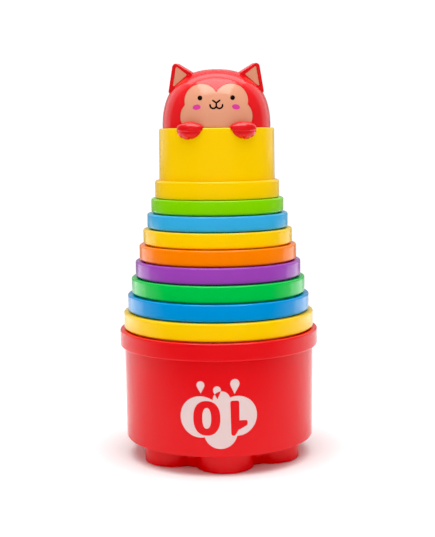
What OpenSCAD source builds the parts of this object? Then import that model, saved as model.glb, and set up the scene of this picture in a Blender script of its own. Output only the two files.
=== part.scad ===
// Nest of ten round stacking cups, numbered from 10, the largest, down to 1.
// Cups 10 to 2 stand mouth up, each on the floor of the next larger one.
// Cup 1 is turned mouth down on cup 2, and its foot holds a hollow animal head with two paws.
// Millimetres, +Z up, the front is -Y, and the origin is the centre of the foot on the table.

/* [Cups] */
// Outer radius of the largest collar
rim_r = 50; // [46:0.5:56]
// Thickness of every side wall
wall = 1.6; // [1.4:0.1:1.9]
// Thickness of every floor
floor_t = 1.6; // [1.2:0.1:2.2]
// Radial gap between one cup and the next inside it
nest_gap = 0.5; // [0.4:0.05:0.7]
// Full height of the largest cup
cup_h = 65; // [60:0.5:75]
// How much shorter each cup is than the next larger one
cup_h_step = 2.5; // [2:0.1:2.8]
// Draft of the side walls, in degrees
draft = 0.5; // [0.2:0.1:1]
// Rounding of the outer edge round the closed end
base_edge_r = 0.8; // [0.4:0.1:1.4]
// Rounding inside, where the wall meets the floor
floor_edge_r = 1.2; // [0.6:0.1:2]

/* [Collars] */
// How far a collar stands out from the body below it
collar_out = 2.1; // [1.6:0.1:2.6]
// Gap between a nested collar and the rim under it
collar_gap = 0.3; // [0.2:0.05:0.8]
// Height of the collar of cup 1
top_collar_h = 9; // [6:0.5:12]
// Rounding of a collar's upper outer edge
collar_top_r = 0.9; // [0.4:0.1:1]
// Rounding of a collar's lower outer edge
collar_under_r = 1.2; // [0.6:0.1:1.5]
// Rounding of the inner edge of the mouth
mouth_edge_r = 0.3; // [0.1:0.05:0.35]

/* [Flower feet] */
// Height of the largest foot
foot_h = 9.8; // [8:0.1:12]
// How much lower each foot is than the next larger one
foot_h_step = 0.2; // [0:0.05:0.3]
// How far the lobes stop short of the body's edge
foot_inset = 4.8; // [4:0.1:6]
// Number of lobes round a foot
lobe_count = 6; // [5:1:8]
// How far neighbouring lobes run into each other, 1 where they only touch
lobe_overlap = 1.02; // [1:0.01:1.15]
// How deep the valleys between the lobes of the largest foot are; smaller feet are drawn to scale
valley_depth = 9.6; // [5:0.1:12]
// Turn of the front lobe towards +X, in degrees
foot_turn = 5; // [-30:1:30]

/* [Head] */
// How far the head stops short of the edge of cup 1
head_ledge = 1.8; // [1.2:0.1:2.4]
// Gap between the foot of cup 1 and the head that sits over it
head_fit = 0.5; // [0.3:0.1:0.8]
// Wall of the head
head_wall = 2.5; // [2.3:0.1:3]
// Height of the head without its ears
head_h = 28.9; // [28:0.1:32]
// Radius of the crown
crown_r = 28.05; // [27.6:0.05:29]
// Length of the tongue of the rear half inside the front half
tongue_l = 1.6; // [1:0.1:2.5]
// Gap round fixed pieces: the tongue, the inlays and the pegs
fixed_fit = 0.1; // [0.05:0.01:0.2]

/* [Face plate] */
// Depth of the pocket for the plate
face_pocket = 1.4; // [1.2:0.1:1.6]
// How far the plate lies below the surface of the head
face_recess = 0.5; // [0.3:0.1:0.8]
// Radius of the two upper lobes
brow_r = 8.1; // [7:0.1:9]
// Sideways place of the upper lobes
brow_x = 7.2; // [6:0.1:8]
// Height of the centres of the upper lobes
brow_z = 13; // [12:0.1:15]
// Radius of the two cheek lobes
cheek_r = 8; // [7:0.1:9]
// Sideways place of the cheek lobes
cheek_x = 9.4; // [8:0.1:10]
// Height of the centres of the cheek lobes
cheek_z = 5.4; // [4:0.1:7]

/* [Ears] */
// Thickness of an ear
ear_t = 4.4; // [3.4:0.1:5]
// Turn of an ear outwards, in degrees
ear_yaw = 20; // [0:1:30]
// Sideways place of the middle of an ear
ear_x = 17.3; // [15:0.1:19]
// How far the middle of an ear lies in front of the seam
ear_y = 4.6; // [4.3:0.1:7]
// Rounding of the ear's tip
ear_tip_r = 1.9; // [1.2:0.1:2.4]
// Rounding of the ear's two lower corners
ear_corner_r = 1; // [0.6:0.1:1.4]
// Width of the rim round the lower corners of the inlay
ear_rim = 1.7; // [1.2:0.1:2.2]
// Height of the rim over the tip of the inlay
ear_tip_rim = 1.6; // [1.2:0.1:2.2]
// How far the tip of the inlay leans towards the middle of the head
inlay_lean = 0.6; // [0:0.1:1]
// Depth of the pocket for the inlay
ear_pocket = 1.2; // [0.9:0.1:1.6]
// How far the inlay lies below the rim
ear_recess = 0.4; // [0.2:0.1:0.6]
// Rounding of the inlay's corners
inlay_corner_r = 0.5; // [0.4:0.1:1]

/* [Paws] */
// Turn of a paw away from the front, in degrees
paw_turn = 28; // [22:1:34]
// Radius of a toe
toe_r = 2.4; // [2:0.1:2.8]
// Sideways place of the outer knuckles
knuckle_x = 4.6; // [3.6:0.1:5]
// Distance between neighbouring toe tips
toe_pitch = 3; // [2.4:0.1:3.4]
// How much higher the outer toes end than the middle one
toe_lift = 0.8; // [0.4:0.1:1.4]
// Height of the knuckles over the edge of cup 1
knuckle_z = 0.6; // [0:0.1:1]
// Radius of the grooves between the toes
groove_r = 0.5; // [0.3:0.05:0.8]
// Length of the grooves between the toes
groove_l = 2.8; // [1.5:0.1:4]
// Radius of the crease under the knuckles
crease_r = 0.4; // [0.2:0.05:0.6]
// How far the crease lies below the edge of cup 1
crease_drop = 1.8; // [1.5:0.1:2.2]
// How far the toes reach down over the edge of cup 1
toe_drop = 5.6; // [4:0.1:8]
// How far the toe centres stand out from the wall of cup 1
toe_out = 1.7; // [1.2:0.1:2.2]
// Gap between a paw and what it hooks over
paw_fit = 0.2; // [0.1:0.05:0.3]
// How far the hidden end of a paw starts inside the surface of the head, before it is cut to fit
paw_sink = 0.6; // [0.3:0.1:1]
// Radius of the peg in the head
peg_r = 1; // [0.8:0.05:1.2]
// Length of the peg inside the wall of the head, through the face plate
peg_l = 2; // [1.7:0.1:2.2]
// Height of the underside of the peg over the seat of the head
peg_rise = 0.6; // [0.4:0.1:1]

/* [Hidden] */
cup_count = 10;
round_fn = 96;
bead_fn = 32;
// Overshoot of cutting shapes past the surface that they cut
over = 1;

// Sizes of cup number n, in its own frame: mouth up, foot at zero
function steps_in(n) = cup_count - n;
function rim_radius(n) = rim_r - (wall + nest_gap) * steps_in(n);
function cup_height(n) = cup_h - cup_h_step * steps_in(n);
function foot_height(n) = foot_h - foot_h_step * steps_in(n);
function body_radius(n, z) = rim_radius(n) - collar_out - tan(draft) * (cup_height(n) - z);
function floor_level(n) = foot_height(n) + floor_t;
// Rise from the rim of cup n to the rim of the cup that stands in it
function rim_rise(n) = floor_level(n) - cup_h_step;
function collar_height(n) = n == 1 ? top_collar_h : rim_rise(n + 1) - collar_gap;

// Places in the nest
function stand_z(n) = n == cup_count ? 0 : stand_z(n + 1) + floor_level(n + 1);
function rim_z(n) = stand_z(n) + cup_height(n);

// A foot is a ring of lobes round a disc
lobe_share = sin(180 / lobe_count) * lobe_overlap;
function foot_tip(n) = n == 1 ? spigot_r : body_radius(n, foot_height(n)) - foot_inset;
function lobe_ring(n) = foot_tip(n) / (1 + lobe_share);
function lobe_radius(n) = lobe_ring(n) * lobe_share;
function valley_radius(n) = foot_tip(n) * (1 - valley_depth / foot_tip(cup_count));

// Cup 1 stands upside down, with its closed end at the top
cup_1_top = rim_z(2) + cup_height(1);
seat_z = cup_1_top - foot_height(1);
cup_1_r = body_radius(1, foot_height(1));

// The head is a ball cut by an upright cylinder, and the foot of cup 1 fits its hollow
head_r = cup_1_r - head_ledge;
crown_z = head_h - crown_r;
function head_side(z, inset) = min(head_r - inset, sqrt(pow(crown_r - inset, 2) - pow(z - crown_z, 2)));
spigot_r = min(head_side(0, head_wall), head_side(foot_height(1), head_wall)) - head_fit;

// Corners of an ear in its own plane: sideways from its middle, and up from the seat of the head
ear_tip = [2, 29.7];
ear_inner = [-5.6, 26.3];
ear_outer = [5, 18];
// How far the root of an ear runs into the wall of the head
ear_root = 3;
// How far the strips between the corner circles of an ear stay inside the tangents
strip_tuck = 0.02;
peg_z = peg_r + peg_rise;

// Outer half profile of a cup's body, with a rounded lower edge
module body_outline(n) {
    low_z = foot_height(n);
    edge_z = low_z + base_edge_r;
    edge_x = body_radius(n, edge_z) - base_edge_r / cos(draft);
    polygon([
        [0, low_z],
        [edge_x, low_z],
        [edge_x + base_edge_r * cos(draft), edge_z - base_edge_r * sin(draft)],
        [body_radius(n, cup_height(n)), cup_height(n)],
        [0, cup_height(n)]
    ]);
    translate([edge_x, edge_z])
        circle(base_edge_r, $fn = round_fn);
}

// Half profile of the collar round the mouth
module collar_outline(n) {
    r = rim_radius(n);
    top_z = cup_height(n);
    low_z = top_z - collar_height(n);
    polygon([
        [0, low_z],
        [r - collar_under_r, low_z],
        [r, low_z + collar_under_r],
        [r, top_z - collar_top_r],
        [r - collar_top_r, top_z],
        [0, top_z]
    ]);
    translate([r - collar_under_r, low_z + collar_under_r])
        circle(collar_under_r, $fn = round_fn);
    translate([r - collar_top_r, top_z - collar_top_r])
        circle(collar_top_r, $fn = round_fn);
}

// Half profile of the hollow, with a rounded floor edge and a rounded mouth
module hollow_outline(n) {
    low_z = floor_level(n);
    top_z = cup_height(n);
    edge_z = low_z + floor_edge_r;
    edge_x = body_radius(n, edge_z) - wall - floor_edge_r / cos(draft);
    lip_z = top_z - mouth_edge_r;
    lip_x = body_radius(n, lip_z) - wall + mouth_edge_r / cos(draft);
    difference() {
        union() {
            polygon([
                [0, low_z],
                [edge_x, low_z],
                [edge_x + floor_edge_r * cos(draft), edge_z - floor_edge_r * sin(draft)],
                [lip_x - mouth_edge_r * cos(draft), lip_z + mouth_edge_r * sin(draft)],
                [lip_x, lip_z],
                [lip_x, top_z + over],
                [0, top_z + over]
            ]);
            translate([edge_x, edge_z])
                circle(floor_edge_r, $fn = round_fn);
        }
        translate([lip_x, lip_z])
            circle(mouth_edge_r, $fn = round_fn);
    }
}

// Flower outline of a foot, taken in from its edge
module flower_outline(n, inset) {
    circle(valley_radius(n) - inset, $fn = round_fn);
    for (i = [0 : lobe_count - 1])
        rotate(foot_turn + i * 360 / lobe_count)
            translate([0, -lobe_ring(n)])
                circle(lobe_radius(n) - inset, $fn = round_fn);
}

// Flower skirt under a cup's floor, open below
module flower_foot(n) {
    linear_extrude(foot_height(n) + floor_t / 2)
        difference() {
            flower_outline(n, 0);
            flower_outline(n, wall);
        }
}

// Whole cup number n, mouth up, with its foot at zero
module cup(n) {
    rotate_extrude($fn = round_fn)
        difference() {
            union() {
                body_outline(n);
                collar_outline(n);
            }
            hollow_outline(n);
        }
    flower_foot(n);
}

// Cup number n where it stands in the nest
module nested_cup(n) {
    translate([0, 0, stand_z(n)])
        cup(n);
}

module cup_10_red() {
    color("#e2201f") nested_cup(10);
}

module cup_9_yellow() {
    color("#fbc808") nested_cup(9);
}

module cup_8_blue() {
    color("#0591d3") nested_cup(8);
}

module cup_7_green() {
    color("#05bc49") nested_cup(7);
}

module cup_6_purple() {
    color("#9646a8") nested_cup(6);
}

module cup_5_orange() {
    color("#ff8000") nested_cup(5);
}

module cup_4_yellow() {
    color("#fbc808") nested_cup(4);
}

module cup_3_sky() {
    color("#39aadb") nested_cup(3);
}

module cup_2_lime() {
    color("#7ed009") nested_cup(2);
}

module cup_1_yellow() {
    color("#fbc808")
        translate([0, 0, cup_1_top])
            rotate([180, 0, 0])
                cup(1);
}

// Cross section of the head, taken in from its surface, with its lower end let down
module head_section(inset, let_down) {
    intersection() {
        translate([0, crown_z])
            circle(crown_r - inset, $fn = round_fn);
        translate([inset - head_r, -let_down])
            square([2 * (head_r - inset), head_h + let_down]);
    }
}

// Solid under the head's surface
module head_solid(inset, let_down = 0) {
    intersection() {
        translate([0, 0, crown_z])
            sphere(crown_r - inset, $fn = round_fn);
        translate([0, 0, -let_down])
            cylinder(r = head_r - inset, h = head_h + let_down, $fn = round_fn);
    }
}

// Layer between two depths under the head's surface
module head_layer(outer_inset, inner_inset, let_down = 0) {
    difference() {
        head_solid(outer_inset, let_down);
        head_solid(inner_inset, let_down + over);
    }
}

// Arch of the head's cross section between two depths, as a slab in front of the seam
module seam_arch(outer_inset, inner_inset, depth, let_down = 0) {
    rotate([90, 0, 0])
        linear_extrude(depth)
            difference() {
                head_section(outer_inset, let_down);
                head_section(inner_inset, let_down + over);
            }
}

// Block in front of the seam
module front_half() {
    block = 2 * head_r;
    translate([-block, -block, -over])
        cube([2 * block, block, block]);
}

// Face outline extruded to the front, grown by a margin
module face_block(margin) {
    rotate([90, 0, 0])
        linear_extrude(2 * head_r)
            union() {
                for (side = [-1, 1]) {
                    translate([side * brow_x, brow_z])
                        circle(brow_r + margin, $fn = round_fn);
                    translate([side * cheek_x, cheek_z])
                        circle(cheek_r + margin, $fn = round_fn);
                }
                translate([-cheek_x, -2 * over])
                    square([2 * cheek_x, brow_z + 2 * over]);
            }
}

// Straight strip between two corner circles, along their outer tangents
module corner_strip(a, a_r, b, b_r) {
    gap = norm(b - a);
    heading = atan2(b[1] - a[1], b[0] - a[0]);
    lean = acos((a_r - b_r) / gap);
    left = [cos(heading + lean), sin(heading + lean)];
    right = [cos(heading - lean), sin(heading - lean)];
    a_in = a_r - strip_tuck;
    b_in = b_r - strip_tuck;
    polygon([a + a_in * right, b + b_in * right, b + b_in * left, a + a_in * left]);
}

module rounded_triangle(a, a_r, b, b_r, c, c_r) {
    translate(a)
        circle(a_r, $fn = round_fn);
    translate(b)
        circle(b_r, $fn = round_fn);
    translate(c)
        circle(c_r, $fn = round_fn);
    corner_strip(a, a_r, b, b_r);
    corner_strip(b, b_r, c, c_r);
    corner_strip(c, c_r, a, a_r);
    polygon([a, b, c]);
}

// Centre and radius of the circle inside the ear's triangle
function ear_sides() = [norm(ear_outer - ear_inner), norm(ear_tip - ear_outer), norm(ear_inner - ear_tip)];
function ear_middle() =
    let (s = ear_sides())
    (s[0] * ear_tip + s[1] * ear_inner + s[2] * ear_outer) / (s[0] + s[1] + s[2]);
function ear_inner_r() =
    let (s = ear_sides(), half = (s[0] + s[1] + s[2]) / 2)
    sqrt((half - s[0]) * (half - s[1]) * (half - s[2]) / half);
// A corner drawn in so that every edge of the triangle moves by the same distance
function drawn_in(corner, by) = ear_middle() + (corner - ear_middle()) * (1 - by / ear_inner_r());

// Ear outline and the outline of its inlay, grown by a margin
module ear_outline() {
    base = ear_outer - ear_inner;
    root_step = ear_root * [base[1], -base[0]] / norm(base);
    rounded_triangle(ear_tip, ear_tip_r, ear_inner, ear_corner_r, ear_outer, ear_corner_r);
    polygon([ear_inner, ear_outer, ear_outer + root_step, ear_inner + root_step]);
}

module inlay_outline(margin) {
    by = ear_rim - ear_corner_r + inlay_corner_r;
    r = inlay_corner_r + margin;
    tip = ear_tip + [-inlay_lean, ear_tip_r - ear_tip_rim - inlay_corner_r];
    rounded_triangle(tip, r, drawn_in(ear_inner, by), r, drawn_in(ear_outer, by), r);
}

// A slab in an ear's own plane, from a depth behind its front face; side is 1 for +X and -1 for -X
module ear_slab(side, depth, thickness) {
    mirror([side > 0 ? 0 : 1, 0, 0])
        translate([ear_x, -ear_y, 0])
            rotate([0, 0, ear_yaw])
                translate([0, depth - ear_t / 2 + thickness, 0])
                    rotate([90, 0, 0])
                        linear_extrude(thickness)
                            children();
}

// Peg or socket of a paw, along the radius of the head
module peg(side, r, inner_l, outer_l) {
    rotate([0, 0, side * paw_turn])
        translate([0, inner_l - head_side(peg_z, 0), peg_z])
            rotate([90, 0, 0])
                cylinder(r = r, h = inner_l + outer_l, $fn = round_fn);
}

module head_front_shape() {
    difference() {
        union() {
            intersection() {
                head_layer(0, head_wall);
                front_half();
            }
            difference() {
                for (side = [-1, 1])
                    ear_slab(side, 0, ear_t)
                        ear_outline();
                head_solid(head_wall / 2);
            }
        }
        intersection() {
            face_block(fixed_fit);
            head_layer(-over, face_pocket, over);
        }
        for (side = [-1, 1]) {
            ear_slab(side, -over, ear_pocket + over)
                inlay_outline(fixed_fit);
            peg(side, peg_r + fixed_fit, peg_l + fixed_fit, over);
        }
        translate([0, over, 0])
            seam_arch(head_wall / 2, head_wall + over, tongue_l + fixed_fit + over, over);
    }
}

module head_rear_shape() {
    difference() {
        head_layer(0, head_wall);
        front_half();
    }
    translate([0, fixed_fit, 0])
        seam_arch(head_wall / 2 + fixed_fit, head_wall, tongue_l + fixed_fit);
}

module head_front() {
    color("#e2201f")
        translate([0, 0, seat_z])
            head_front_shape();
}

module head_rear() {
    color("#e2201f")
        translate([0, 0, seat_z])
            head_rear_shape();
}

module face_plate() {
    color("#eeb08e")
        translate([0, 0, seat_z])
            difference() {
                intersection() {
                    face_block(0);
                    head_layer(face_recess, face_pocket - fixed_fit);
                }
                for (side = [-1, 1])
                    peg(side, peg_r + fixed_fit, peg_l + fixed_fit, over);
            }
}

module ear_inlay(side) {
    color("#eeb08e")
        translate([0, 0, seat_z])
            ear_slab(side, ear_recess, ear_pocket - ear_recess - fixed_fit)
                inlay_outline(0);
}

module left_ear_inlay() {
    ear_inlay(-1);
}

module right_ear_inlay() {
    ear_inlay(1);
}

// Ball in a paw: sideways, out from the wall of cup 1, and up from the seat of the head
module bead(x, out, z) {
    translate([x, -cup_1_r - out, z])
        sphere(toe_r, $fn = bead_fn);
}

// Mitten over the edge of cup 1, with a crease under its knuckles and two grooves between its toes
module paw_shape() {
    tip_z = toe_r - toe_drop;
    hidden_out = head_side(knuckle_z, 0) - cup_1_r - paw_sink;
    difference() {
        hull() {
            bead(0, toe_out, tip_z);
            for (i = [-1, 1]) {
                bead(i * toe_pitch, toe_out, tip_z + toe_lift);
                bead(i * knuckle_x, toe_out, knuckle_z);
                bead(i * knuckle_x, hidden_out, knuckle_z);
            }
        }
        for (i = [-1, 1])
            translate([i * toe_pitch / 2, -cup_1_r - toe_out - toe_r, -toe_drop])
                cylinder(r = groove_r, h = groove_l, $fn = round_fn);
        translate([0, -cup_1_r - toe_out - toe_r, -crease_drop])
            rotate([0, 90, 0])
                cylinder(r = crease_r, h = 2 * (knuckle_x + toe_r), center = true, $fn = round_fn);
    }
}

module paw(side) {
    color("#e2201f")
        translate([0, 0, seat_z]) {
            difference() {
                rotate([0, 0, side * paw_turn])
                    paw_shape();
                translate([0, 0, -foot_h])
                    cylinder(r = cup_1_r + paw_fit, h = foot_h + paw_fit, $fn = round_fn);
                head_solid(-paw_fit, over);
            }
            peg(side, peg_r, peg_l, paw_fit + toe_r / 2);
        }
}

module left_paw() {
    paw(-1);
}

module right_paw() {
    paw(1);
}

cup_10_red();
cup_9_yellow();
cup_8_blue();
cup_7_green();
cup_6_purple();
cup_5_orange();
cup_4_yellow();
cup_3_sky();
cup_2_lime();
cup_1_yellow();
head_front();
head_rear();
face_plate();
left_ear_inlay();
right_ear_inlay();
left_paw();
right_paw();
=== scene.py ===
import bmesh
import bpy
import math
from mathutils import Matrix, Vector


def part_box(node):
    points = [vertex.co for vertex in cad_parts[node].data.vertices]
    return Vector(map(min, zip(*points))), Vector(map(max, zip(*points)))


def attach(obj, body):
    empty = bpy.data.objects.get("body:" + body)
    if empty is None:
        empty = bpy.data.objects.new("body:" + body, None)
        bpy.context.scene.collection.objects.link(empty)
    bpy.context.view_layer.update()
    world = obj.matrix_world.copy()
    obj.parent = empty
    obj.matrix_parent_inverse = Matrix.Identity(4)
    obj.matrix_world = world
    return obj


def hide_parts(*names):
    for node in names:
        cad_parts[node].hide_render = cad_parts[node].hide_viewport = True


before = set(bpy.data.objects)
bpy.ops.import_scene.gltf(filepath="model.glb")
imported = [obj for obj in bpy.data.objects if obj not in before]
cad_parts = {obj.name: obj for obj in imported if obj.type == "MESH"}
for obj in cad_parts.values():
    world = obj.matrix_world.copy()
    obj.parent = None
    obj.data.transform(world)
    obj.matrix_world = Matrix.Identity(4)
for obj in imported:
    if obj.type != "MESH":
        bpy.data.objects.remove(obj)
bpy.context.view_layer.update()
bpy.ops.object.select_all(action="DESELECT")
mm = 0.001


# Camera at the photograph's view: 435 x 537 pixels, on the cups' axis
camera = {
    "place": (0, -557.6 * mm, 162.0 * mm),
    "lookDown": math.radians(6.91),
    "turn": math.radians(0.027),
    "roll": math.radians(-0.6),
    "lens": 74.24,
    "sensor": 36.0,
}


def addCamera():
    aim = Matrix.Rotation(camera["turn"], 4, "Z")
    aim @= Matrix.Rotation(math.pi / 2 - camera["lookDown"], 4, "X")
    aim @= Matrix.Rotation(camera["roll"], 4, "Z")
    bpy.ops.object.camera_add(location=camera["place"], rotation=aim.to_euler())
    lens = bpy.context.object.data
    lens.sensor_fit = "VERTICAL"
    lens.sensor_height = camera["sensor"]
    lens.lens = camera["lens"]
    bpy.context.scene.camera = bpy.context.object


addCamera()
print("camera set")


# Colours as seen in even white light, 0 to 255
plasticColours = {
    "red": (227, 22, 28),
    "yellow": (252, 203, 0),
    "blue": (0, 145, 216),
    "green": (0, 194, 72),
    "purple": (156, 67, 180),
    "orange": (255, 129, 0),
    "sky": (53, 171, 225),
    "lime": (130, 211, 0),
    "peach": (223, 154, 122),
}
plastic = {
    "roughness": 0.16,
    "smudge": 0.08,          # how far roughness wanders
    "smudgeScale": 45.0,
    "smudgeDetail": 4.0,
    "tone": 0.05,            # how far the colour wanders
    "toneScale": 18.0,
    "toneDetail": 2.0,
    "grain": 0.02,
    "grainScale": 2600.0,
    "grainDetail": 3.0,
    "grainDepth": 0.1 * mm,
    "specular": 0.34,
}


# Standard sRGB curve, from a channel to linear light
def linear(channel):
    share = channel / 255
    return share / 12.92 if share <= 0.04045 else ((share + 0.055) / 1.055) ** 2.4


def shade(colour, factor=1.0):
    return tuple(min(1.0, linear(c) * factor) for c in colour) + (1.0,)


def newMaterial(name):
    material = bpy.data.materials.new(name)
    material.use_nodes = True
    nodes = material.node_tree.nodes
    return material, nodes, material.node_tree.links, nodes["Principled BSDF"]


def addNoise(nodes, links, coords, look, kind):
    noise = nodes.new("ShaderNodeTexNoise")
    noise.inputs["Scale"].default_value = look[kind + "Scale"]
    noise.inputs["Detail"].default_value = look[kind + "Detail"]
    links.new(coords.outputs["Object"], noise.inputs["Vector"])
    return noise.outputs["Fac"]


def remap(nodes, links, source, low, high):
    spread = nodes.new("ShaderNodeMapRange")
    spread.inputs["To Min"].default_value = low
    spread.inputs["To Max"].default_value = high
    links.new(source, spread.inputs["Value"])
    return spread.outputs["Result"]


def mixColour(nodes, links, factor, first, second):
    blend = nodes.new("ShaderNodeMix")
    blend.data_type = "RGBA"
    links.new(factor, blend.inputs["Factor"])
    for socket, value in (("A", first), ("B", second)):
        target = [s for s in blend.inputs if s.name == socket and s.type == "RGBA"][0]
        target.default_value = value
    return [s for s in blend.outputs if s.type == "RGBA"][0]


# Moulded plastic: gloss with faint smudges, a little drift in tone and a fine grain
def mouldedPlastic(name, colour, look=plastic):
    material, nodes, links, shader = newMaterial(name)
    coords = nodes.new("ShaderNodeTexCoord")
    drift = addNoise(nodes, links, coords, look, "tone")
    deep = shade(colour, 1 - look["tone"])
    full = shade(colour, 1 + look["tone"])
    links.new(mixColour(nodes, links, drift, deep, full), shader.inputs["Base Color"])
    smudges = addNoise(nodes, links, coords, look, "smudge")
    low = look["roughness"] - look["smudge"] / 2
    high = look["roughness"] + look["smudge"] / 2
    links.new(remap(nodes, links, smudges, low, high), shader.inputs["Roughness"])
    bump = nodes.new("ShaderNodeBump")
    bump.inputs["Strength"].default_value = look["grain"]
    bump.inputs["Distance"].default_value = look["grainDepth"]
    links.new(addNoise(nodes, links, coords, look, "grain"), bump.inputs["Height"])
    links.new(bump.outputs["Normal"], shader.inputs["Normal"])
    shader.inputs["Specular IOR Level"].default_value = look["specular"]
    return material


plastics = {name: mouldedPlastic(name + "Plastic", rgb) for name, rgb in plasticColours.items()}
gloss = dict(plastic, smudge=0.05, specular=0.5)
plastics["glossyRed"] = mouldedPlastic("glossyRedPlastic", plasticColours["red"], gloss)
plastics["glossyPeach"] = mouldedPlastic("glossyPeachPlastic", plasticColours["peach"], gloss)
print("plastics mixed:", len(plastics))


# Printing inks, duller than the plastic under them
inkColours = {
    "pale": (226, 202, 200),
    "dark": (26, 16, 14),
    "pink": (212, 62, 150),
}
ink = dict(plastic, roughness=0.42, tone=0.02, specular=0.1)
inks = {name: mouldedPlastic(name + "Ink", rgb, ink) for name, rgb in inkColours.items()}


# Modelling helpers
def pickOnly(piece):
    bpy.ops.object.select_all(action="DESELECT")
    bpy.context.view_layer.objects.active = piece
    piece.select_set(True)


def openEdit(piece):
    pickOnly(piece)
    bpy.ops.object.mode_set(mode="EDIT")


def closeEdit():
    bpy.ops.object.mode_set(mode="OBJECT")


def namePiece(name):
    piece = bpy.context.object
    piece.name = name
    piece.data.name = name
    return piece


def applyModifier(piece, kind, **settings):
    pickOnly(piece)
    modifier = piece.modifiers.new(kind.lower(), kind)
    for key, value in settings.items():
        setattr(modifier, key, value)
    bpy.ops.object.modifier_apply(modifier=modifier.name)


def combine(piece, other, operation):
    applyModifier(piece, "BOOLEAN", object=other, operation=operation, solver="EXACT")
    bpy.data.objects.remove(other)


def reshape(piece, place):
    for vertex in piece.data.vertices:
        vertex.co = place(vertex.co)
    openEdit(piece)
    bpy.ops.mesh.select_all(action="SELECT")
    bpy.ops.mesh.normals_make_consistent(inside=False)
    closeEdit()


crease = math.radians(35)    # steeper edges stay crisp
flatWeight = 80              # how far large faces rule the normals


# Smooth faces with crisp edges; large flat faces keep their own normals
def polish(piece, angle=crease):
    pickOnly(piece)
    bpy.ops.object.shade_smooth_by_angle(angle=angle)
    applyModifier(piece, "WEIGHTED_NORMAL", keep_sharp=True, weight=flatWeight)


def finishPiece(piece, body, slot, material, *nodes):
    piece.data.materials.clear()
    piece.data.materials.append(material)
    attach(piece, body)
    if nodes:
        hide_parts(*nodes)
    bpy.ops.object.select_all(action="DESELECT")
    return piece


pole = 1e-6                  # radius of a ring that closes to a point
weld = 5e-6
fineSteps = 5                # faces in a quarter round
coarseSteps = 3


# Rings extruded one from another, each a radius (or a radius by angle) and a height
def loftRings(name, rings, spokes, phase=0.0):
    bpy.ops.mesh.primitive_circle_add(vertices=spokes, radius=1.0, fill_type="NOTHING")
    piece = namePiece(name)
    bpy.ops.object.mode_set(mode="EDIT")
    bpy.ops.mesh.select_mode(type="EDGE")
    bpy.ops.mesh.select_all(action="SELECT")
    step = math.tau / spokes
    for count, (radius, height) in enumerate(rings):
        if count:
            bpy.ops.mesh.extrude_edges_move()
        start = phase if count else 0.0
        for vertex in bmesh.from_edit_mesh(piece.data).verts:
            if not vertex.select:
                continue
            turn = round((math.atan2(vertex.co.y, vertex.co.x) - start) / step) * step + phase
            reach = radius(turn) if callable(radius) else radius
            vertex.co = Vector((reach * math.cos(turn), reach * math.sin(turn), height))
        bmesh.update_edit_mesh(piece.data)
    bpy.ops.mesh.select_mode(type="VERT")
    bpy.ops.mesh.select_all(action="SELECT")
    bpy.ops.mesh.remove_doubles(threshold=weld)
    bpy.ops.mesh.normals_make_consistent(inside=False)
    closeEdit()
    return piece


# Quarter round between two directions, as offsets from its centre
def quarter(centre, radius, fromAngle, toAngle, steps=fineSteps):
    points = []
    for i in range(steps + 1):
        turn = math.radians(fromAngle + (toAngle - fromAngle) * i / steps)
        points.append((centre[0] + radius * math.cos(turn), centre[1] + radius * math.sin(turn)))
    return points


# Cups: the rim and heights come from the frame
cup = {
    "largest": 10,
    "wall": 1.6 * mm,
    "floor": 1.6 * mm,
    "draft": math.radians(0.5),
    "collarOut": 2.1 * mm,
    "collarTall": 8.8 * mm,
    "collarStep": 0.2 * mm,
    "topCollarTall": 9.0 * mm,
    "lipRound": 0.9 * mm,
    "collarUnderRound": 1.2 * mm,
    "mouthRound": 0.3 * mm,
    "baseRound": 0.8 * mm,
    "floorRound": 1.2 * mm,
    "restGap": 0.02 * mm,    # keeps the next cup's foot from sharing this floor's plane
    "footTall": 9.8 * mm,
    "footStep": 0.2 * mm,
    "footInset": 4.8 * mm,
    "footRound": 1.0 * mm,
    "footInnerRound": 0.3 * mm,
    "lobes": 6,
    "lobeOverlap": 1.02,
    "valley": 0.224,         # depth between the lobes, as a share of their reach
    "turn": math.radians(5 - 90),
    "spokes": 192,
}
cupColours = {
    10: "red", 9: "yellow", 8: "blue", 7: "green", 6: "purple",
    5: "orange", 4: "yellow", 3: "sky", 2: "lime", 1: "yellow",
}


def cupNode(number):
    return "cup_%d_%s" % (number, cupColours[number])


def cupBody(number):
    return "topper" if number == 1 else "cup_%d" % number


def footHeight(number):
    return cup["footTall"] - cup["footStep"] * (cup["largest"] - number)


def bodyRadius(rim, tall, height):
    return rim - cup["collarOut"] - math.tan(cup["draft"]) * (tall - height)


# Radius of the flower outline by angle: six lobes round a disc, taken in by an inset
def flowerOutline(tip, inset):
    share = math.sin(math.pi / cup["lobes"]) * cup["lobeOverlap"]
    ring = tip / (1 + share)
    lobe = ring * share - inset
    disc = tip * (1 - cup["valley"]) - inset
    between = math.tau / cup["lobes"]

    def radius(turn):
        off = (turn - cup["turn"] + between / 2) % between - between / 2
        across = ring * math.sin(off)
        if abs(across) >= lobe:
            return disc
        return max(disc, ring * math.cos(off) + math.sqrt(lobe * lobe - across * across))

    return radius


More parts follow.
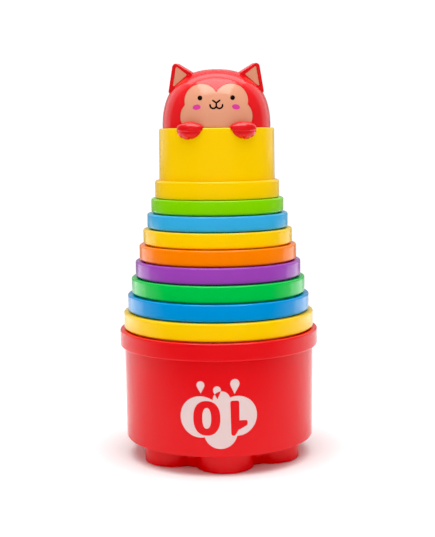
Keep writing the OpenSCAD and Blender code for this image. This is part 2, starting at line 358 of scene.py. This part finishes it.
def cupRings(number, rim, tall):
    foot = footHeight(number)
    collar = cup["collarTall"] - cup["collarStep"] * (cup["largest"] - number)
    if number == 1:
        collar = cup["topCollarTall"]
    tip = bodyRadius(rim, tall, foot) - cup["footInset"]
    wall = cup["wall"]
    outer, inner = cup["footRound"], cup["footInnerRound"]
    rings = [(pole, foot), (flowerOutline(tip, wall), foot)]
    for inset, height in quarter((wall - inner, inner), inner, 0, -90, coarseSteps):
        rings.append((flowerOutline(tip, inset), height))
    for inset, height in quarter((outer, outer), outer, -90, -180):
        rings.append((flowerOutline(tip, inset), height))
    rings.append((flowerOutline(tip, 0), foot))
    baseRound, low = cup["baseRound"], foot + cup["baseRound"]
    rings += quarter((bodyRadius(rim, tall, low) - baseRound, low), baseRound, -90, 0)
    collarLow = tall - collar
    rings.append((bodyRadius(rim, tall, collarLow), collarLow))
    under, lip, mouth = cup["collarUnderRound"], cup["lipRound"], cup["mouthRound"]
    rings += quarter((rim - under, collarLow + under), under, -90, 0)
    rings += quarter((rim - lip, tall - lip), lip, 0, 90)
    inside = bodyRadius(rim, tall, tall) - wall
    rings += quarter((inside + mouth, tall - mouth), mouth, 90, 180, coarseSteps)
    floor, corner = foot + cup["floor"] - cup["restGap"], cup["floorRound"]
    inside = bodyRadius(rim, tall, floor + corner) - wall
    rings += quarter((inside - corner, floor + corner), corner, 0, -90)
    rings.append((pole, floor))
    return rings


def makeCup(number):
    node = cupNode(number)
    low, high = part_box(node)
    rings = cupRings(number, high.x, high.z - low.z)
    piece = loftRings("cup%d" % number, rings, cup["spokes"], cup["turn"])
    if number == 1:
        reshape(piece, lambda co: Vector((co.x, -co.y, high.z - co.z)))
    else:
        reshape(piece, lambda co: Vector((co.x, co.y, low.z + co.z)))
    polish(piece)
    return finishPiece(piece, cupBody(number), cupColours[number], plastics[cupColours[number]], node)


cups = {number: makeCup(number) for number in range(cup["largest"], 0, -1)}
print("cups turned:", len(cups))


# Head: a dome over the seat, in the space of its two CAD halves
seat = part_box("head_rear")[0].z
head = {
    "radius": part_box("head_rear")[1].x,
    "tall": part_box("head_rear")[1].z - seat,
    "wall": 2.5 * mm,
    "roundness": 2.4,        # 2 is an ellipse, more is squarer
    "baseRound": 0.4 * mm,
    "rows": 40,
    "spokes": 160,
    "seam": 0.05 * mm,
    "hollowDrop": 3 * mm,
    "crease": math.radians(32),
}
onSeat = Vector((0, 0, seat))


def domeRadius(height, inset):
    power = head["roundness"]
    share = min(1.0, max(height, 0.0) / (head["tall"] - inset))
    return (head["radius"] - inset) * (1 - share ** power) ** (1 / power)


def domeDepth(across, height, inset):
    return math.sqrt(max(0.0, domeRadius(height, inset) ** 2 - across ** 2))


def domeRings(inset, drop):
    power = 2 / head["roundness"]
    wide, tall = head["radius"] - inset, head["tall"] - inset
    edge = min(head["baseRound"], head["wall"] / 2)
    rings = [(pole, -drop)] + quarter((wide - edge, edge - drop), edge, -90, 0, coarseSteps)
    for row in range(1, head["rows"]):
        turn = math.pi / 2 * row / head["rows"]
        point = (wide * math.cos(turn) ** power, tall * math.sin(turn) ** power)
        if point[1] > edge:
            rings.append(point)
    return rings + [(pole, tall)]


def dome(name, inset=0.0, drop=0.0):
    return loftRings(name, domeRings(inset, drop), head["spokes"])


# Flat plate with rounded edges, drawn on x and y, from a near to a far depth on z
def flatPlate(name, outline, near, far, edge=0.0):
    bpy.ops.mesh.primitive_circle_add(vertices=len(outline), radius=1.0, fill_type="NGON")
    piece = namePiece(name)
    for vertex, point in zip(piece.data.vertices, outline):
        vertex.co = Vector((point[0], point[1], near))
    bpy.ops.object.mode_set(mode="EDIT")
    bpy.ops.mesh.select_all(action="SELECT")
    bpy.ops.mesh.extrude_region_move(TRANSFORM_OT_translate={"value": (0, 0, far - near)})
    if edge:
        shape = bmesh.from_edit_mesh(piece.data)
        bpy.ops.mesh.select_mode(type="EDGE")
        for line in shape.edges:
            line.select_set(abs(line.verts[0].co.z - line.verts[1].co.z) < weld)
        bmesh.update_edit_mesh(piece.data)
        bpy.ops.mesh.bevel(offset=edge, segments=coarseSteps, affect="EDGES", clamp_overlap=True)
    bpy.ops.mesh.select_mode(type="VERT")
    bpy.ops.mesh.select_all(action="SELECT")
    bpy.ops.mesh.normals_make_consistent(inside=False)
    closeEdit()
    return piece


# Outline drawn round circles that stand in anticlockwise order
def wrapCircles(circles, steps=8):
    count = len(circles)
    normals = []
    for i, (x, y, radius) in enumerate(circles):
        nextX, nextY, nextRadius = circles[(i + 1) % count]
        gap = math.hypot(nextX - x, nextY - y)
        normals.append(math.atan2(nextY - y, nextX - x) - math.acos((radius - nextRadius) / gap))
    outline = []
    for i, (x, y, radius) in enumerate(circles):
        start = normals[i - 1]
        sweep = (normals[i] - start) % math.tau
        for k in range(steps + 1):
            turn = start + sweep * k / steps
            outline.append((x + radius * math.cos(turn), y + radius * math.sin(turn)))
    return outline


def ovalOutline(middle, half, power=2.0, tilt=0.0, steps=56):
    outline = []
    for i in range(steps):
        turn = math.tau * i / steps
        x = half[0] * math.copysign(abs(math.cos(turn)) ** (2 / power), math.cos(turn))
        y = half[1] * math.copysign(abs(math.sin(turn)) ** (2 / power), math.sin(turn))
        outline.append((middle[0] + x * math.cos(tilt) - y * math.sin(tilt),
                        middle[1] + x * math.sin(tilt) + y * math.cos(tilt)))
    return outline


# Cuts a flat piece into strips and rows, so that it can follow a curved surface
def sliceFlat(piece, spacing):
    openEdit(piece)
    for axis, normal in ((0, (1, 0, 0)), (1, (0, 1, 0))):
        reach = [vertex.co[axis] for vertex in bmesh.from_edit_mesh(piece.data).verts]
        first = math.ceil(min(reach) / spacing)
        last = math.floor(max(reach) / spacing)
        for i in range(first, last + 1):
            bpy.ops.mesh.select_all(action="SELECT")
            bpy.ops.mesh.bisect(plane_co=[n * i * spacing for n in normal], plane_no=normal)
    closeEdit()


# Print on the largest cup: an upturned cloud with rain and the cup's number.
# Places are sideways along the wall, then up.
cloud = {
    "puffs": (
        (-8.96 * mm, 29.52 * mm, 10.0 * mm),
        (8.52 * mm, 29.93 * mm, 9.65 * mm),
        (0.51 * mm, 22.12 * mm, 8.0 * mm),
        (0.99 * mm, 37.84 * mm, 4.15 * mm),
    ),
    "rain": (
        ((-8.91 * mm, 44.88 * mm, 1.92 * mm), (-8.82 * mm, 41.12 * mm, 0.1 * mm)),
        ((7.40 * mm, 45.53 * mm, 2.25 * mm), (7.22 * mm, 40.83 * mm, 0.1 * mm)),
    ),
    "middleDrop": ((-1.08 * mm, 42.53 * mm, 1.9 * mm), (-0.93 * mm, 38.34 * mm, 0.1 * mm)),
    "zero": (-6.10 * mm, 28.93 * mm),
    "zeroOuter": (6.5 * mm, 8.4 * mm),
    "zeroInner": (2.1 * mm, 5.0 * mm),
    "zeroPower": 2.3,
    "oneBar": (
        (6.23 * mm, 36.26 * mm, 1.1 * mm),
        (6.67 * mm, 21.49 * mm, 1.19 * mm),
        (9.14 * mm, 23.83 * mm, 0.37 * mm),
        (8.34 * mm, 36.26 * mm, 1.1 * mm),
    ),
    "oneFlag": (
        (8.41 * mm, 26.98 * mm, 0.73 * mm),
        (9.51 * mm, 23.94 * mm, 0.66 * mm),
        (12.42 * mm, 25.87 * mm, 1.03 * mm),
        (12.49 * mm, 26.68 * mm, 1.0 * mm),
    ),
    "proud": 0.04 * mm,
    "sunk": 0.06 * mm,
    "slice": 1.5 * mm,
}


def printPlate(outline, deeper=0.0):
    return flatPlate("printPlate", outline, -cloud["proud"] - deeper, cloud["sunk"] + deeper)


def printCutter(outline):
    return printPlate(outline, cloud["sunk"])


def disc(circle):
    return ovalOutline(circle[:2], (circle[2], circle[2]))


def makeCloud(number):
    low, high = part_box(cupNode(number))
    piece = printPlate(disc(cloud["puffs"][0]))
    for puff in cloud["puffs"][1:]:
        combine(piece, printPlate(disc(puff)), "UNION")
    drop = printPlate(wrapCircles(cloud["middleDrop"]))
    for puff in cloud["puffs"]:
        combine(drop, printCutter(disc(puff)), "DIFFERENCE")
    combine(piece, printCutter(wrapCircles(cloud["middleDrop"])), "DIFFERENCE")
    zero, hole = (printCutter(ovalOutline(cloud["zero"], cloud[size], cloud["zeroPower"]))
                  for size in ("zeroOuter", "zeroInner"))
    combine(zero, hole, "DIFFERENCE")
    combine(piece, zero, "DIFFERENCE")
    for circles in (cloud["oneBar"], cloud["oneFlag"]):
        combine(piece, printCutter(wrapCircles(circles)), "DIFFERENCE")
    combine(piece, drop, "UNION")
    for circles in cloud["rain"]:
        combine(piece, printPlate(wrapCircles(circles)), "UNION")
    sliceFlat(piece, cloud["slice"])

    def place(co):
        radius = bodyRadius(high.x, high.z - low.z, co.y)
        turn = co.x / radius
        radius -= co.z
        return Vector((radius * math.sin(turn), -radius * math.cos(turn), low.z + co.y))

    reshape(piece, place)
    piece.name = "cloudPrint"
    polish(piece)
    return finishPiece(piece, cupBody(number), None, inks["pale"])


makeCloud(cup["largest"])
print("cloud printed")


# Ears: corner circles in the ear's own plane, sideways from its middle and up from the seat
ear = {
    "thick": 4.4 * mm,
    "turn": math.radians(20),
    "side": 17.3 * mm,
    "ahead": 4.6 * mm,
    "tip": (2.0 * mm, 29.7 * mm, 1.9 * mm),
    "inner": (-5.6 * mm, 26.3 * mm, 1.0 * mm),
    "outer": (5.0 * mm, 18.0 * mm, 1.0 * mm),
    "root": 3.0 * mm,
    "edge": 0.5 * mm,
    "pocketRim": 1.7 * mm,
    "tipRim": 1.6 * mm,
    "inlayLean": 0.6 * mm,
    "pocket": 1.2 * mm,
    "inlayRecess": 0.15 * mm,
    "inlayRound": 0.5 * mm,
    "inlayGap": 0.03 * mm,
    "inlayEdge": 0.1 * mm,
}


# From the ear's own plane, with depth behind its front face, to the head.
# Side is 1 for +X, -1 for -X.
def earPlace(side):
    turn = ear["turn"]

    def place(co):
        depth = co.z - ear["thick"] / 2
        across = ear["side"] + co.x * math.cos(turn) - depth * math.sin(turn)
        ahead = -ear["ahead"] + co.x * math.sin(turn) + depth * math.cos(turn)
        return Vector((side * across, ahead, co.y))

    return place


def earOutline():
    inner, outer = ear["inner"], ear["outer"]
    baseX, baseY = outer[0] - inner[0], outer[1] - inner[1]
    root = ear["root"] / math.hypot(baseX, baseY)
    rootX, rootY = baseY * root, -baseX * root
    innerRoot = (inner[0] + rootX, inner[1] + rootY, inner[2])
    outerRoot = (outer[0] + rootX, outer[1] + rootY, outer[2])
    return wrapCircles([ear["tip"], inner, innerRoot, outerRoot, outer])


# The inlay's lower corners are the ear's own, drawn in by the same distance.
# Its tip is set from the ear's top.
def inlayOutline(margin):
    corners = [ear["tip"], ear["inner"], ear["outer"]]
    lengths = [math.dist(corners[i - 2][:2], corners[i - 1][:2]) for i in range(3)]
    around = sum(lengths)
    middle = [sum(n * c[axis] for n, c in zip(lengths, corners)) / around for axis in (0, 1)]
    half = around / 2
    inRadius = math.sqrt(math.prod(half - n for n in lengths) / half)
    size = ear["inlayRound"]
    draw = 1 - (ear["pocketRim"] - ear["inner"][2] + size) / inRadius
    tipX, tipY, tipRadius = ear["tip"]
    circles = [(tipX - ear["inlayLean"], tipY + tipRadius - ear["tipRim"] - size, size + margin)]
    for corner in corners[1:]:
        x, y = (m + (c - m) * draw for c, m in zip(corner, middle))
        circles.append((x, y, size + margin))
    return wrapCircles(circles)


def makeEar(side):
    piece = flatPlate("earBlank", earOutline(), 0, ear["thick"], ear["edge"])
    pocket = flatPlate("earPocket", inlayOutline(ear["inlayGap"]), -ear["pocket"], ear["pocket"])
    combine(piece, pocket, "DIFFERENCE")
    reshape(piece, earPlace(side))
    return piece


def makeInlay(side, node):
    name = node.replace("_ear_", "Ear").replace("inlay", "Inlay")
    near, far = ear["inlayRecess"], ear["pocket"]
    piece = flatPlate(name, inlayOutline(0), near, far, ear["inlayEdge"])
    place = earPlace(side)
    reshape(piece, lambda co: place(co) + onSeat)
    polish(piece)
    return finishPiece(piece, "topper", "peach", plastics["peach"], node)


# Face: two brows and two cheeks, flat outline round a middle, then laid on the dome
face = {
    "middle": 8.5 * mm,
    "brow": (7.2 * mm, 13.0 * mm, 8.1 * mm),
    "cheek": (9.4 * mm, 5.4 * mm, 8.0 * mm),
    "pocket": 1.4 * mm,
    "recess": 0.12 * mm,
    "gap": 0.04 * mm,
    "edge": 0.12 * mm,
    "edgeSteps": 4,
    "lift": 0.15 * mm,       # clear of the cup that it stands on
    "spokes": 288,
    "over": 4 * mm,
    "pocketShares": (0.9, 0.75, 0.55, 0.35, 0.15),
    "plateShares": (0.9, 0.8, 0.7, 0.6, 0.5, 0.4, 0.3, 0.2, 0.1),
    "crease": math.radians(50),
}


def rayExit(turn, centre, radius):
    along = centre[0] * math.cos(turn) + centre[1] * math.sin(turn)
    aside = centre[0] * math.sin(turn) - centre[1] * math.cos(turn)
    if abs(aside) >= radius:
        return 0.0
    return along + math.sqrt(radius * radius - aside * aside)


def faceOutline(margin, low):
    middle = face["middle"]

    def radius(turn):
        reach = 0.0
        for x, height, size in (face["brow"], face["cheek"]):
            for side in (-1, 1):
                reach = max(reach, rayExit(turn, (side * x, height - middle), size + margin))
        down = -math.sin(turn)
        if down > 0:
            across = abs(math.cos(turn))
            chin = (middle - low) / down
            if chin * across <= face["cheek"][0]:
                reach = max(reach, chin)
            reach = min(reach, chin)
        return reach

    return radius


# From the flat outline, with depth under the dome's surface, to the head
def facePlace(co):
    height = co.y + face["middle"]
    return Vector((co.x, -domeDepth(co.x, height, co.z), height))


def scaled(outline, share, less=0.0):
    return lambda turn: outline(turn) * share - less


def makeFaceCutter():
    outline = faceOutline(face["gap"], -face["over"])
    deep, out = face["pocket"], -face["over"]
    rings = [(pole, out), (outline, out), (outline, deep)]
    rings += [(scaled(outline, share), deep) for share in face["pocketShares"]] + [(pole, deep)]
    cutter = loftRings("faceCutter", rings, face["spokes"], math.pi / 2)
    reshape(cutter, facePlace)
    return cutter


def makeFacePlate():
    outline = faceOutline(0.0, face["lift"])
    top, deep, edge = face["recess"], face["pocket"] - face["gap"], face["edge"]
    shares = face["plateShares"]
    rings = [(pole, top)] + [(scaled(outline, share), top) for share in reversed(shares)]
    for less, depth in quarter((edge, top + edge), edge, -90, -180, face["edgeSteps"]):
        rings.append((scaled(outline, 1.0, less), depth))
    rings.append((outline, deep))
    rings += [(scaled(outline, share), deep) for share in shares] + [(pole, deep)]
    piece = loftRings("facePlate", rings, face["spokes"], math.pi / 2)
    reshape(piece, lambda co: facePlace(co) + onSeat)
    polish(piece, face["crease"])
    return finishPiece(piece, "topper", "peach", plastics["glossyPeach"], "face_plate")


# Printed marks on the face: sideways from its middle, then up from the seat
marks = {
    "eye": (7.8 * mm, 14.2 * mm),
    "eyeHalf": (1.15 * mm, 1.15 * mm),
    "blush": (9.4 * mm, 9.8 * mm),
    "blushHalf": (1.95 * mm, 1.25 * mm),
    "blushTilt": math.radians(8),
    "noseArm": (1.6 * mm, 12.9 * mm),
    "noseFork": (0.0, 11.7 * mm),
    "noseEnd": (0.0, 10.1 * mm),
    "smileEnd": (2.95 * mm, 10.85 * mm),
    "smileLow": (1.5 * mm, 9.1 * mm),
    "smileSteps": 14,
    "stroke": 0.4 * mm,      # half the line's width
    "capSteps": 6,
    "proud": 0.04 * mm,
    "sunk": 0.1 * mm,
    "slice": 0.6 * mm,
}


# Points on the circle through three points, from the first to the last by way of the second
def arcThrough(first, second, last, steps):
    ax, ay = second[0] - first[0], second[1] - first[1]
    bx, by = last[0] - first[0], last[1] - first[1]
    twice = 2 * (ax * by - ay * bx)
    offX = (by * (ax * ax + ay * ay) - ay * (bx * bx + by * by)) / twice
    offY = (ax * (bx * bx + by * by) - bx * (ax * ax + ay * ay)) / twice
    radius = math.hypot(offX, offY)
    centre = (first[0] + offX, first[1] + offY)
    start = math.atan2(first[1] - centre[1], first[0] - centre[0])
    end = math.atan2(last[1] - centre[1], last[0] - centre[0])
    sweep = (end - start) % math.tau
    if twice < 0:
        sweep -= math.tau
    turns = [start + sweep * i / steps for i in range(steps + 1)]
    return [(centre[0] + radius * math.cos(t), centre[1] + radius * math.sin(t)) for t in turns]


# Outline of a line of even width with round ends
def strokeOutline(points, half):
    outline = []
    for path in (points, points[::-1]):
        for i, (x, y) in enumerate(path[:-1]):
            before = path[max(0, i - 1)]
            after = path[i + 1]
            side = math.atan2(after[1] - before[1], after[0] - before[0]) - math.pi / 2
            outline.append((x + half * math.cos(side), y + half * math.sin(side)))
        (fromX, fromY), (x, y) = path[-2:]
        side = math.atan2(y - fromY, x - fromX) - math.pi / 2
        for k in range(marks["capSteps"] + 1):
            turn = side + math.pi * k / marks["capSteps"]
            outline.append((x + half * math.cos(turn), y + half * math.sin(turn)))
    return outline


def markPlate(outline):
    return flatPlate("markPlate", outline, face["recess"] - marks["proud"], face["recess"] + marks["sunk"])


def layMark(piece, name, material):
    sliceFlat(piece, marks["slice"])
    lift = Vector((0, -face["middle"], 0))
    reshape(piece, lambda co: facePlace(co + lift) + onSeat)
    piece.name = name
    polish(piece)
    return finishPiece(piece, "topper", None, material)


def makeFaceMarks():
    half = marks["stroke"]
    mouth = markPlate(strokeOutline([marks["noseFork"], marks["noseEnd"]], half))
    places = ("noseArm", "smileEnd", "smileLow", "eye", "blush")
    for side, name in ((-1, "left"), (1, "right")):
        arm, smileEnd, smileLow, eye, blush = ((side * marks[at][0], marks[at][1]) for at in places)
        combine(mouth, markPlate(strokeOutline([arm, marks["noseFork"]], half)), "UNION")
        smile = arcThrough(smileEnd, smileLow, marks["noseEnd"], marks["smileSteps"])
        combine(mouth, markPlate(strokeOutline(smile, half)), "UNION")
        layMark(markPlate(ovalOutline(eye, marks["eyeHalf"])), name + "Eye", inks["dark"])
        oval = ovalOutline(blush, marks["blushHalf"], tilt=-side * marks["blushTilt"])
        layMark(markPlate(oval), name + "Blush", inks["pink"])
    layMark(mouth, "noseAndMouth", inks["dark"])


def splitAtSeam(piece, keepFront):
    openEdit(piece)
    bpy.ops.mesh.select_all(action="SELECT")
    ahead = -head["seam"] if keepFront else head["seam"]
    bpy.ops.mesh.bisect(plane_co=(0, ahead, 0), plane_no=(0, 1, 0), use_fill=True,
                        clear_outer=keepFront, clear_inner=not keepFront)
    closeEdit()


def makeHeadHalf(name, node, front):
    piece = dome(name)
    if front:
        for side in (-1, 1):
            combine(piece, makeEar(side), "UNION")
    combine(piece, dome("headHollow", head["wall"], head["hollowDrop"]), "DIFFERENCE")
    splitAtSeam(piece, front)
    if front:
        combine(piece, makeFaceCutter(), "DIFFERENCE")
    reshape(piece, lambda co: co + onSeat)
    polish(piece, head["crease"])
    return finishPiece(piece, "topper", "red", plastics["glossyRed"], node)


makeHeadHalf("headFront", "head_front", True)
makeHeadHalf("headRear", "head_rear", False)
makeFacePlate()
makeFaceMarks()
makeInlay(-1, "left_ear_inlay")
makeInlay(1, "right_ear_inlay")
print("head, ears and face made")


# Paws: a soft lid over the cup's edge and the toes under it.
# Places are sideways to the face, out from the wall and up from the edge.
paw = {
    "turn": math.radians(28),
    "lid": {
        "middle": (0.4 * mm, -1.2 * mm, 0.0),
        "half": (7.0 * mm, 5.0 * mm, 3.0 * mm),
        "under": 2.3 * mm,   # reach below its middle
        "square": 4.0,       # roundness below its middle, 2 is a ball
        "taper": 0.3,        # how much the end towards the face narrows
    },
    "toes": {
        "middle": (0.0, -1.2 * mm, -1.2 * mm),
        "half": (6.6 * mm, 4.5 * mm, 3.0 * mm),
        "under": 4.5 * mm,
        "square": 2.0,
        "taper": 0.15,
    },
    "grooves": (-3.1 * mm, 1.1 * mm),
    "grooveDeep": 0.5 * mm,
    "grooveWide": 0.35 * mm,
    "grooveTop": -3.4 * mm,
    "grooveFade": 1.0 * mm,
    "grooveRise": 0.6,
    "gap": 0.12 * mm,
    "drop": 17 * mm,
    "segments": 96,
    "rows": 64,
    "crease": math.radians(40),
}


def pawLump(name, lump, place):
    bpy.ops.mesh.primitive_uv_sphere_add(segments=paw["segments"], ring_count=paw["rows"])
    piece = namePiece(name)
    wide, deep, tall = lump["half"]
    aside, ahead, above = lump["middle"]

    def shape(co):
        narrow = 1 - lump["taper"] * max(0.0, co.x) ** 2
        up = above + co.z * narrow * (tall if co.z > 0 else lump["under"])
        spread = 1.0
        level = math.hypot(co.x, co.y)
        if co.z < 0 and level > pole:
            spread = max(0.0, 1 - abs(co.z) ** lump["square"]) ** (1 / lump["square"]) / level
        return place(aside + co.x * wide * spread, ahead - co.y * deep * narrow * spread, up)

    reshape(piece, shape)
    return piece


def makePaw(side, node):
    low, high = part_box(cupNode(1))
    edgeRadius = bodyRadius(high.x, high.z - low.z, footHeight(1))
    turned = Matrix.Rotation(side * paw["turn"], 4, "Z")

    def place(across, out, up):
        return turned @ Vector((-side * across, -edgeRadius - out, up))

    def placeToes(across, out, up):
        below = max(0.0, min(1.0, (paw["grooveTop"] - up) / paw["grooveFade"]))
        for at in paw["grooves"]:
            dip = paw["grooveDeep"] * below * math.exp(-((across - at) / paw["grooveWide"]) ** 2)
            out -= dip
            up += dip * paw["grooveRise"]
        return place(across, out, up)

    piece = pawLump(node.replace("_paw", "Paw"), paw["lid"], place)
    combine(piece, pawLump("pawToes", paw["toes"], placeToes), "UNION")
    gap, drop = paw["gap"], paw["drop"]
    rings = [(pole, -drop), (edgeRadius + gap, -drop), (edgeRadius + gap, gap), (pole, gap)]
    combine(piece, loftRings("pawSeat", rings, head["spokes"]), "DIFFERENCE")
    combine(piece, dome("pawBack", -gap, head["hollowDrop"]), "DIFFERENCE")
    reshape(piece, lambda co: co + onSeat)
    polish(piece, paw["crease"])
    return finishPiece(piece, "topper", "red", plastics["glossyRed"], node)


makePaw(-1, "left_paw")
makePaw(1, "right_paw")
print("paws made")


# White floor and backdrop under an overhead softbox, all in metres.
# The other softboxes and the grey cards show only in reflections.
studio = {
    "floorTone": 0.97,
    "floorSize": (1.2, 1.2),
    "world": 0.66,
    "roughness": 0.7,
    "backdropReach": 4.0,
    "backdropGlow": 1.05,
    "blackLevel": (0.008, 0.008, 0.008),
}
flat = (0, 0, 0)
upright = (math.pi / 2, 0, 0)
sideways = (math.pi / 2, 0, math.pi / 2)
cards = {
    "cameraCard": {"at": (0, -1.1, 1.15), "turn": upright, "size": (3.0, 2.4), "tone": 0.32},
    "floorCard": {"at": (0, -0.4, 0.001), "turn": flat, "size": (3.0, 1.4), "tone": 0.05,
                  "fade": (0.2, 0.45)},
    "leftCard": {"at": (-0.8, -0.2, 0.6), "turn": sideways, "size": (1.8, 1.2), "tone": 0.18},
    "rightCard": {"at": (0.8, -0.2, 0.6), "turn": sideways, "size": (1.8, 1.2), "tone": 0.18},
    "backCard": {"at": (0, 0.7, 0.6), "turn": upright, "size": (1.6, 1.2), "tone": 0.4},
}
softboxes = {
    "overhead": {"at": (0, -0.2, 1.3), "aim": (0, 0, 0.1), "size": (1.2, 1.0), "power": 14.5, "lights": True},
    "rearTop": {"at": (0, 0.75, 1.1), "aim": (0, 0, 0.15), "size": (1.6, 0.9), "power": 8.5},
    "leftSide": {"at": (-0.31, 0.25, 0.36), "aim": (0, 0, 0.3), "size": (0.24, 0.44), "power": 0.18},
    "rightSide": {"at": (0.31, 0.25, 0.36), "aim": (0, 0, 0.3), "size": (0.24, 0.44), "power": 0.18},
    "leftLow": {"at": (-0.33, 0.22, 0.045), "aim": (0, 0, 0.045), "size": (0.26, 0.085), "power": 0.08},
    "rightLow": {"at": (0.33, 0.22, 0.045), "aim": (0, 0, 0.045), "size": (0.26, 0.085), "power": 0.08},
}


def addSoftbox(name, box):
    toward = Vector(box["aim"]) - Vector(box["at"])
    turn = toward.to_track_quat("-Z", "Y").to_euler()
    bpy.ops.object.light_add(type="AREA", location=box["at"], rotation=turn)
    lamp = bpy.context.object
    lamp.name = name + "Softbox"
    lamp.data.shape = "RECTANGLE"
    lamp.data.size, lamp.data.size_y = box["size"]
    lamp.data.energy = box["power"]
    lamp.visible_diffuse = box.get("lights", False)


def addSheet(name, tone, size, fade=None, **place):
    bpy.ops.mesh.primitive_plane_add(size=1.0, **place)
    sheet = namePiece(name)
    sheet.scale = (size[0], size[1], 1.0)
    bpy.ops.object.transform_apply(location=False, rotation=False, scale=True)
    material, nodes, links, shader = newMaterial(name + "Paper")
    shader.inputs["Base Color"].default_value = (tone, tone, tone, 1.0)
    if fade:  # dark in front, clearing to the floor's own tone behind
        split = nodes.new("ShaderNodeSeparateXYZ")
        links.new(nodes.new("ShaderNodeTexCoord").outputs["Object"], split.inputs["Vector"])
        ramp = nodes.new("ShaderNodeMapRange")
        links.new(split.outputs["Y"], ramp.inputs["Value"])
        ramp.inputs["From Min"].default_value, ramp.inputs["From Max"].default_value = fade
        ramp.inputs["To Min"].default_value = tone
        ramp.inputs["To Max"].default_value = studio["floorTone"]
        links.new(ramp.outputs["Result"], shader.inputs["Base Color"])
    shader.inputs["Roughness"].default_value = studio["roughness"]
    shader.inputs["Specular IOR Level"].default_value = 0.0
    sheet.data.materials.append(material)
    return sheet


# A white cyclorama that only the camera sees
def addBackdrop():
    bpy.ops.mesh.primitive_uv_sphere_add(radius=studio["backdropReach"])
    backdrop = namePiece("studioBackdrop")
    material, _, _, shader = newMaterial("backdropPaper")
    shader.inputs["Emission Color"].default_value = (1.0, 1.0, 1.0, 1.0)
    shader.inputs["Emission Strength"].default_value = studio["backdropGlow"]
    shader.inputs["Base Color"].default_value = (0.0, 0.0, 0.0, 1.0)
    shader.inputs["Specular IOR Level"].default_value = 0.0
    backdrop.data.materials.append(material)
    backdrop.visible_diffuse = False
    backdrop.visible_glossy = False
    backdrop.visible_shadow = False


def addStudio():
    addSheet("studioFloor", studio["floorTone"], studio["floorSize"])
    addBackdrop()
    for name, card in cards.items():
        sheet = addSheet(name, card["tone"], card["size"], card.get("fade"),
                         location=card["at"], rotation=card["turn"])
        sheet.visible_camera = False
        sheet.visible_shadow = False
        sheet.visible_diffuse = False
    world = bpy.data.worlds.new("studioWorld")
    world.use_nodes = True
    sky = world.node_tree.nodes["Background"]
    sky.inputs["Color"].default_value = (1.0, 1.0, 1.0, 1.0)
    sky.inputs["Strength"].default_value = studio["world"]
    bpy.context.scene.world = world
    for name, box in softboxes.items():
        addSoftbox(name, box)
    settings = bpy.context.scene.view_settings
    settings.view_transform = "Standard"
    settings.use_curve_mapping = True
    settings.curve_mapping.black_level = studio["blackLevel"]
    settings.curve_mapping.update()


addStudio()
print("studio lit")
